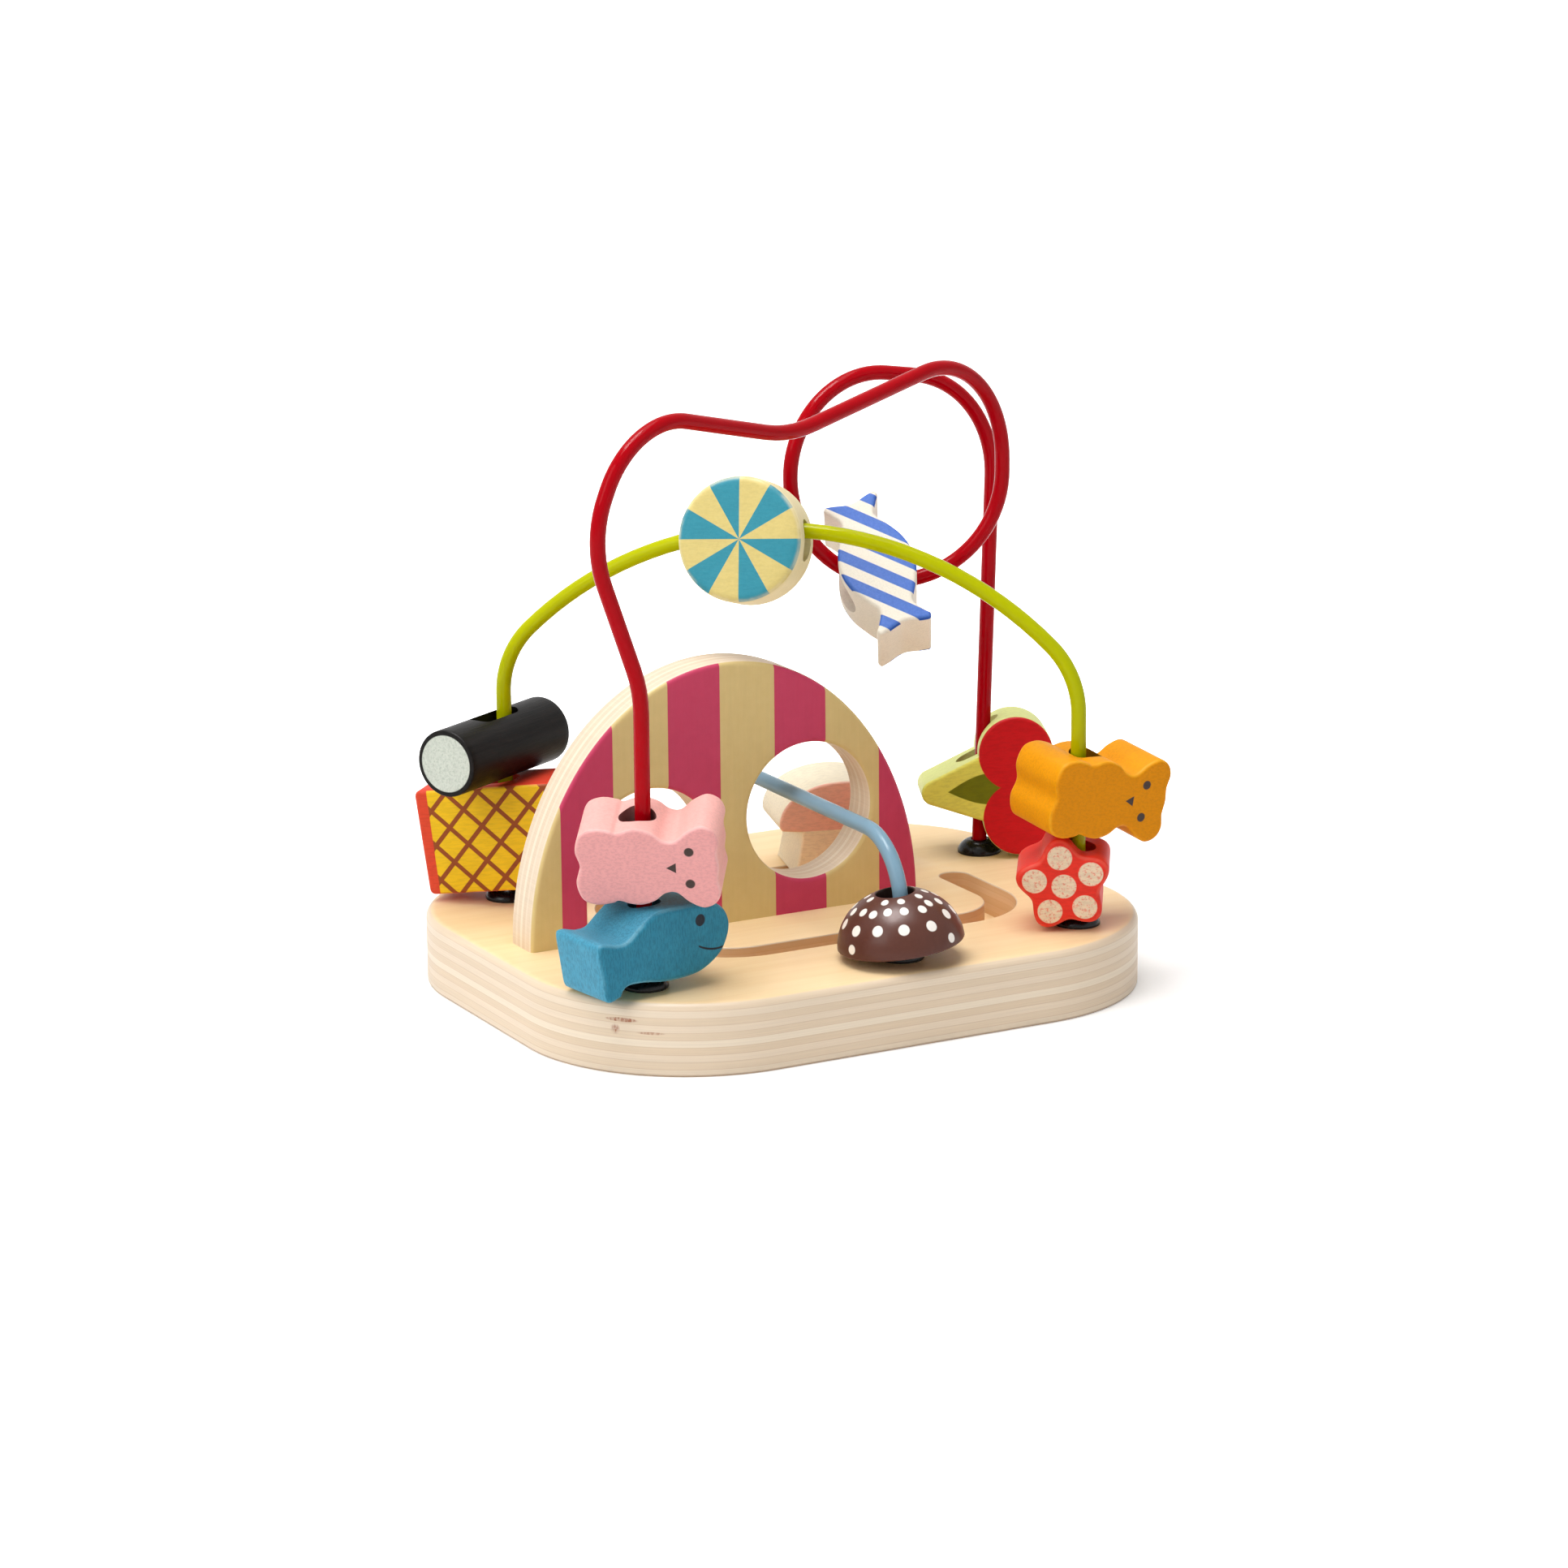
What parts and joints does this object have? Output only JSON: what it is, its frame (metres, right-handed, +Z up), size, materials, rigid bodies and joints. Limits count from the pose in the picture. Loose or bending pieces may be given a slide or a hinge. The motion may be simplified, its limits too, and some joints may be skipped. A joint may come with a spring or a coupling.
{
  "type": "bead maze toy",
  "caption": "Wooden bead maze toy: a plywood base with a striped arch panel, bent coloured wires and shaped beads that slide and turn on them.",
  "frame": {"origin": "middle of the bounding box in plan, on the underside of the base board", "axes": "+Z up, +X along the long side of the base to the right of the striped face, -Y out of the striped face towards the front"},
  "size_m": [0.2054, 0.1644, 0.1829],
  "materials": {
    "base_board": "clear lacquered maple plywood",
    "arch_panel": "striped printed plywood",
    "wire_red": "gloss red coating",
    "wire_lime": "gloss lime coating",
    "wire_blue": "gloss pale blue coating",
    "bead_fish": "satin blue paint",
    "bead_bear_pink": "satin pink paint",
    "bead_wrapped_candy": "satin cream paint with stripes",
    "bead_cherries": "satin red paint",
    "bead_waffle": "satin yellow paint with a lattice",
    "bead_liquorice": "satin black paint",
    "bead_disc": "satin cream paint with sectors",
    "bead_bear_orange": "satin orange paint",
    "bead_flower": "satin red paint with dots",
    "bead_dome": "satin brown paint with dots",
    "bead_mushroom": "satin cream and coral paint",
    "collar": "gloss black"
  },
  "bodies": {
    "frame": {"base_board": "base_board", "arch_panel": "arch_panel", "wire_red": "wire_red", "wire_lime": "wire_lime", "wire_blue": "wire_blue", "collar_red_front": "collar", "collar_red_rear": "collar", "collar_lime_rear": "collar", "collar_lime_front": "collar", "collar_blue_front": "collar", "collar_blue_rear": "collar"},
    "fish": {"bead_fish": "bead_fish"},
    "bear_pink": {"bead_bear_pink": "bead_bear_pink"},
    "wrapped_candy": {"bead_wrapped_candy": "bead_wrapped_candy"},
    "cherries": {"bead_cherries": "bead_cherries"},
    "waffle": {"bead_waffle": "bead_waffle"},
    "liquorice": {"bead_liquorice": "bead_liquorice"},
    "disc": {"bead_disc": "bead_disc"},
    "flower": {"bead_flower": "bead_flower"},
    "bear_orange": {"bead_bear_orange": "bead_bear_orange"},
    "dome": {"bead_dome": "bead_dome"},
    "mushroom": {"bead_mushroom": "bead_mushroom"}
  },
  "joints": [
    {"name": "fish_slide", "type": "slide", "parent": "frame", "child": "fish", "axis": [0, 0, 1], "range_m": [0, 0.01]},
    {"name": "pink_bear_slide", "type": "slide", "parent": "fish", "child": "bear_pink", "axis": [0, 0, 1], "range_m": [0, 0.01]},
    {"name": "candy_swing", "type": "hinge", "parent": "frame", "child": "wrapped_candy", "pos_m": [0.041, 0.01208, 0.1456], "axis": [-0.309, -0.9511, 0], "range_deg": [-18, 26]},
    {"name": "cherries_slide", "type": "slide", "parent": "frame", "child": "cherries", "axis": [0.0372, 0, 0.9993], "range_m": [0, 0.04]},
    {"name": "waffle_slide", "type": "slide", "parent": "frame", "child": "waffle", "axis": [0, 0, 1], "range_m": [0, 0.005]},
    {"name": "liquorice_spin", "type": "hinge", "parent": "waffle", "child": "liquorice", "pos_m": [-0.0716, 0.05038, 0.0674], "axis": [0, 0, 1], "range_deg": [-12, 40]},
    {"name": "disc_travel", "type": "hinge", "parent": "frame", "child": "disc", "pos_m": [-0.00515, -0.00427, 0.02594], "axis": [-0.6352, -0.7723, 0], "range_deg": [-25, 30]},
    {"name": "flower_slide", "type": "slide", "parent": "frame", "child": "flower", "axis": [0, 0, 1], "range_m": [0, 0.005]},
    {"name": "orange_bear_spin", "type": "hinge", "parent": "flower", "child": "bear_orange", "pos_m": [0.0613, -0.05892, 0.0614], "axis": [0, 0, 1], "range_deg": [-50, 60]},
    {"name": "dome_spin", "type": "hinge", "parent": "frame", "child": "dome", "pos_m": [-0.001, -0.06392, 0.0214], "axis": [0, 0, 1], "range_deg": [-120, 40]},
    {"name": "mushroom_slide", "type": "slide", "parent": "frame", "child": "mushroom", "axis": [1, 0, 0], "range_m": [-0.05, 0.004]}
  ]
}
